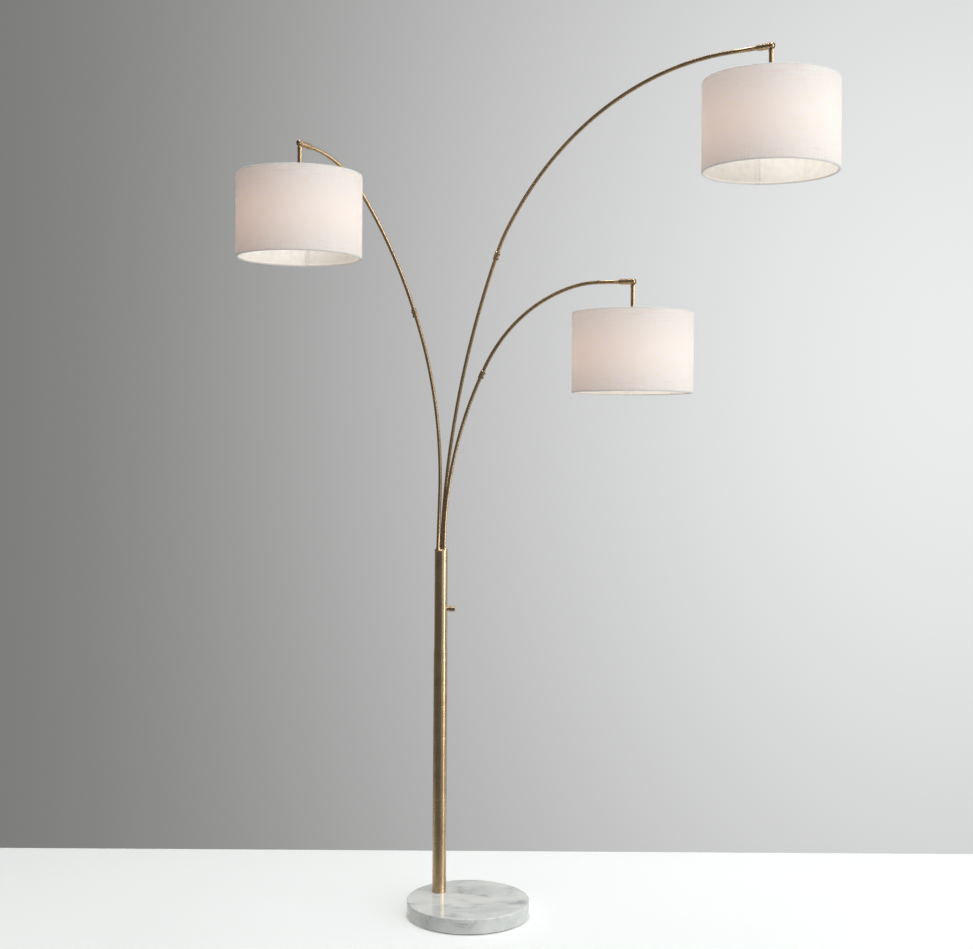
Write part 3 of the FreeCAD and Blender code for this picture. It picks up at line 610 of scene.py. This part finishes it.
for arm in arm_plans:
    low_corner, high_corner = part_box(arm + "_bulb")
    axis = (low_corner + high_corner) / 2
    axis.z = low_corner.z
    length = high_corner.z - low_corner.z
    cap_base = length - contact_height - cap_length
    neck_reach = math.hypot(neck_radius, cap_base - globe_radius)
    neck_turn = math.atan2(cap_base - globe_radius, neck_radius) - math.acos(globe_radius / neck_reach)
    outline = []
    for step in range(globe_steps + 1):
        turn = -math.pi / 2 + (neck_turn + math.pi / 2) * step / globe_steps
        radius = max(0.0, globe_radius * math.cos(turn))
        outline.append((radius, globe_radius + globe_radius * math.sin(turn)))
    outline += [(neck_radius, cap_base), (cap_radius, cap_base + cap_edge)]
    ribs = int((cap_length - 2 * thread_margin) / thread_pitch)
    for rib in range(ribs):
        base = cap_base + thread_margin + rib * thread_pitch
        outline += [(cap_radius - thread_depth, base), (cap_radius, base + thread_pitch / 2)]
    outline += [(cap_radius - thread_depth, cap_base + cap_length - thread_margin),
                (contact_radius + contact_cone, cap_base + cap_length),
                (contact_radius, cap_base + cap_length), (contact_radius, length), (0.0, length)]
    shape = spin_round(outline, bulb_steps)
    for face in shape.faces:
        face.material_index = int(face.calc_center_median().z > cap_base)
    bmesh.ops.translate(shape, vec=axis, verts=shape.verts)
    fit(make_piece(arm + "_opal_bulb", shape, opal, nickel), arm + "_head", "opal_glass", arm + "_bulb")


# ---------------------------------------------------------------- linen shades
# Slubby off-white linen on a sheet of white styrene, rolled round the wire rings at the top and the
# bottom and lapped over itself in one upright seam at the back.  The bulb's light through it is painted
# on as a warm glow, most at its own height, and less on the doubled linen of the rolls and the seam.
shade_wall = 0.0012
roll_depth = 0.0062             # the roll reaches this far in and down round its wire
roll_round = 0.0026
roll_steps = 6
seam_lap = 0.011
seam_proud = 0.0004
shade_steps = 180
bulb_below_top = 0.108          # top edge of the shade down to the middle of the bulb
linen_white, linen_shade = (240, 241, 240), (222, 221, 218)
# Painted light: the linen and the liner glow as emission with the bulb's warm light.
painted_glow_colour, painted_glow_strength = (255, 211, 189), 0.395
liner_white, liner_pale = (238, 233, 226), (250, 248, 243)
painted_liner_glow, painted_liner_glow_strength = (255, 220, 196), 0.04
black_out = [0.0, 0.0, 0.0, 1.0]
thread_width, cloth_depth = 0.00125, 0.0004
slub_waves = 38.0               # thick and thin places for each metre of thread
slub_low, slub_high = 0.36, 0.66    # the noise of the thick, duller places and of the thin ones
slub_waver = 1.6                # thread widths that a slub pushes its neighbours aside
crossed_shift = 7.0             # sets the two sets of threads apart in the noise
linen_spread, linen_least = 0.11, 0.45      # how far up and down the bulb's glow spreads, and its least
liner_spread, liner_least = 0.12, 0.40
hem_closed, hem_open = 0.002, 0.0045        # the glow comes up between these distances from a rim
hem_share, lap_share = 0.25, 0.5            # from this share, and it has this share on the lap
lap_blur = 0.0005
liner_slack = 0.0001
thick_share, thin_share = 0.93, 1.04
liner_waves = 60.0
low_corner, high_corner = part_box("tall_shade")
shade_radius = (high_corner.x - low_corner.x) / 2
shade_height = high_corner.z - low_corner.z
seam_turn = seam_lap / 2 / shade_radius     # half of the lap, as a turn about the shade's axis

weave, entry, end = new_group("linen_weave", {"Place": "Vector", "Thread": "Float"}, ("Slub", "Height"))
split = add_node(weave, "SeparateXYZ", {0: entry.outputs["Place"]})
heights, slubs = [], []
for along, across in (("X", "Y"), ("Y", "X")):
    # One set of threads runs along this axis: slow thick and thin places along it, quick changes across.
    slow = add_node(weave, "Math", {0: split.outputs[along], 1: slub_waves}, operation="MULTIPLY").outputs[0]
    quick = add_node(weave, "Math", {0: split.outputs[across], 1: entry.outputs["Thread"]},
                     operation="DIVIDE").outputs[0]
    apart = crossed_shift if along == "X" else 0.0
    thread_place = add_node(weave, "CombineXYZ", {"X": slow, "Y": quick, "Z": apart})
    slub = noise(weave, thread_place.outputs[0], 0.55, 2.0, 0.6)
    slubs.append(slub)
    waver = add_node(weave, "Math", {0: slub, 1: slub_waver, 2: quick}, operation="MULTIPLY_ADD").outputs[0]
    wave = add_node(weave, "Math", {0: waver, 1: 2 * math.pi}, operation="MULTIPLY").outputs[0]
    heights.append(add_node(weave, "Math", {0: wave}, operation="SINE").outputs[0])
both = add_node(weave, "Math", {0: slubs[0], 1: slubs[1]}, operation="ADD").outputs[0]
half = add_node(weave, "Math", {0: both, 1: 0.5}, operation="MULTIPLY").outputs[0]
weave.links.new(half, end.inputs["Slub"])
crossed = add_node(weave, "Math", {0: heights[0], 1: heights[1]}, operation="ADD").outputs[0]
height = add_node(weave, "Math", {0: crossed, 1: 0.25, 2: 0.5}, operation="MULTIPLY_ADD").outputs[0]
weave.links.new(height, end.inputs["Height"])


def painted_glow_by_height(tree, up, spread, least):
    """Share of the painted bulb glow: 1 at the bulb's height and less above and below it, as light from a
    small bulb falls on a drum.
    """
    bulb_height = shade_height - bulb_below_top
    drop = add_node(tree, "Math", {0: up, 1: bulb_height}, operation="SUBTRACT").outputs[0]
    share = add_node(tree, "Math", {0: drop, 1: spread}, operation="DIVIDE").outputs[0]
    square = add_node(tree, "Math", {0: share, 1: share}, operation="MULTIPLY").outputs[0]
    one_more = add_node(tree, "Math", {0: square, 1: 1.0}, operation="ADD").outputs[0]
    fall = add_node(tree, "Math", {0: one_more, 1: -1.5}, operation="POWER").outputs[0]
    return add_node(tree, "Math", {0: fall, 1: 1 - least, 2: least}, operation="MULTIPLY_ADD").outputs[0]


linen, tree, shader = start_finish("slub_linen", {"Roughness": 0.92, "Sheen Weight": 0.25,
                                                  "Sheen Roughness": 0.4, "Specular IOR Level": 0.25,
                                                  "Emission Strength": painted_glow_strength})
where = add_node(tree, "TexCoord").outputs["UV"]
cloth = add_node(tree, "Group", {"Place": where, "Thread": thread_width}, node_tree=weave)
slub = cloth.outputs["Slub"]
yarn = ramp(tree, slub, slub_low, slub_high, paint(*linen_shade), paint(*linen_white))
feed(tree, yarn, shader, "Base Color")
feed(tree, bump(tree, cloth.outputs["Height"], 0.7, cloth_depth), shader, "Normal")
spot = add_node(tree, "SeparateXYZ", {0: where})
up = spot.outputs["Y"]
lit = painted_glow_by_height(tree, up, linen_spread, linen_least)
from_top = add_node(tree, "Math", {0: shade_height, 1: up}, operation="SUBTRACT").outputs[0]
to_rim = add_node(tree, "Math", {0: from_top, 1: up}, operation="MINIMUM").outputs[0]
open_wall = add_node(tree, "MapRange", {"Value": to_rim, "From Min": hem_closed, "From Max": hem_open,
                                        "To Min": hem_share},
                     interpolation_type="SMOOTHSTEP").outputs["Result"]
thin = add_node(tree, "MapRange", {"Value": slub, "From Min": slub_low, "From Max": slub_high,
                                   "To Min": thick_share, "To Max": thin_share}).outputs["Result"]
lap_edge = math.pi * shade_radius - seam_lap
open_lap = add_node(tree, "MapRange", {"Value": spot.outputs["X"], "From Min": lap_edge - lap_blur,
                                       "From Max": lap_edge + lap_blur, "To Min": 1.0,
                                       "To Max": lap_share}).outputs["Result"]
# The painted glow is less on the doubled linen of the rolls and the lap, and on the thick slubs.
for share in (open_wall, open_lap, thin):
    lit = add_node(tree, "Math", {0: lit, 1: share}, operation="MULTIPLY").outputs[0]
feed(tree, ramp(tree, lit, 0.0, 1.0, black_out, paint(*painted_glow_colour)), shader, "Emission Color")

# The liner's emission is painted light: the bulb's glow on the inside of the drum, most at its height.
liner, tree, shader = start_finish("styrene_liner", {"Roughness": 0.5, "Emission Strength": painted_liner_glow_strength})
where = add_node(tree, "TexCoord").outputs["UV"]
cast = noise(tree, where, liner_waves, 2.0, 0.5)
feed(tree, ramp(tree, cast, 0.2, 0.8, paint(*liner_white), paint(*liner_pale)), shader, "Base Color")
up = add_node(tree, "SeparateXYZ", {0: where}).outputs["Y"]
lit = painted_glow_by_height(tree, up, liner_spread, liner_least)
feed(tree, ramp(tree, lit, 0.0, 1.0, black_out, paint(*painted_liner_glow)), shader, "Emission Color")

for arm in arm_plans:
    low_corner, high_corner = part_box(arm + "_shade")
    axis = (low_corner + high_corner) / 2
    axis.z = low_corner.z
    inner = shade_radius - shade_wall
    deep = shade_radius - roll_depth
    shape = bmesh.new()
    corners = [(shade_radius, 0), (shade_radius, shade_height), (deep, shade_height),
               (deep, shade_height - roll_depth), (inner, shade_height - roll_depth), (inner, roll_depth),
               (deep, roll_depth), (deep, 0)]
    points = [shape.verts.new((radius, 0, height)) for radius, height in corners]
    for point, following in zip(points, points[1:] + points[:1]):
        shape.edges.new((point, following))
    rolled = [point for place, point in enumerate(points) if place not in (4, 5)]
    bmesh.ops.bevel(shape, geom=rolled, affect="VERTICES", offset=roll_round, offset_type="OFFSET",
                    segments=roll_steps, profile=0.5, material=-1)
    bmesh.ops.spin(shape, geom=shape.verts[:] + shape.edges[:], cent=(0, 0, 0), axis=(0, 0, 1),
                   dvec=(0, 0, 0), angle=2 * math.pi, steps=shade_steps, use_merge=True)
    bmesh.ops.rotate(shape, cent=(0, 0, 0), matrix=Matrix.Rotation(math.pi / 2, 3, "Z"), verts=shape.verts)
    lapped = []
    for face in shape.faces:
        middle = face.calc_center_median()
        outside = math.hypot(middle.x, middle.y) > shade_radius - roll_round / 2
        if outside and abs(math.atan2(middle.x, middle.y)) < seam_turn:
            lapped.append(face)
    raised = bmesh.ops.extrude_face_region(shape, geom=lapped)["geom"]
    bmesh.ops.delete(shape, geom=lapped, context="FACES")
    for vert in raised:
        if isinstance(vert, bmesh.types.BMVert):
            vert.co += Vector((vert.co.x, vert.co.y, 0)).normalized() * seam_proud
    bmesh.ops.recalc_face_normals(shape, faces=shape.faces)
    uv = shape.loops.layers.uv.new("cloth")
    for face in shape.faces:
        middle = face.calc_center_median()
        # 0 in front, so that the map's ends meet at the lap's edge at the back.
        turn = (math.atan2(middle.x, -middle.y) - seam_turn + math.pi) % (2 * math.pi) - math.pi
        for loop in face.loops:
            place = loop.vert.co
            own = math.atan2(place.x, -place.y) - seam_turn
            own += 2 * math.pi * round((turn - own) / (2 * math.pi))
            loop[uv].uv = (own * shade_radius, place.z)
        between_rolls = roll_depth < middle.z < shade_height - roll_depth
        on_liner = between_rolls and math.hypot(middle.x, middle.y) < inner + liner_slack
        face.material_index = int(on_liner)
    bmesh.ops.translate(shape, vec=axis, verts=shape.verts)
    drum = make_piece(arm + "_linen_drum", shape, linen, liner)
    fit(drum, arm + "_head", "shade_linen", arm + "_shade")
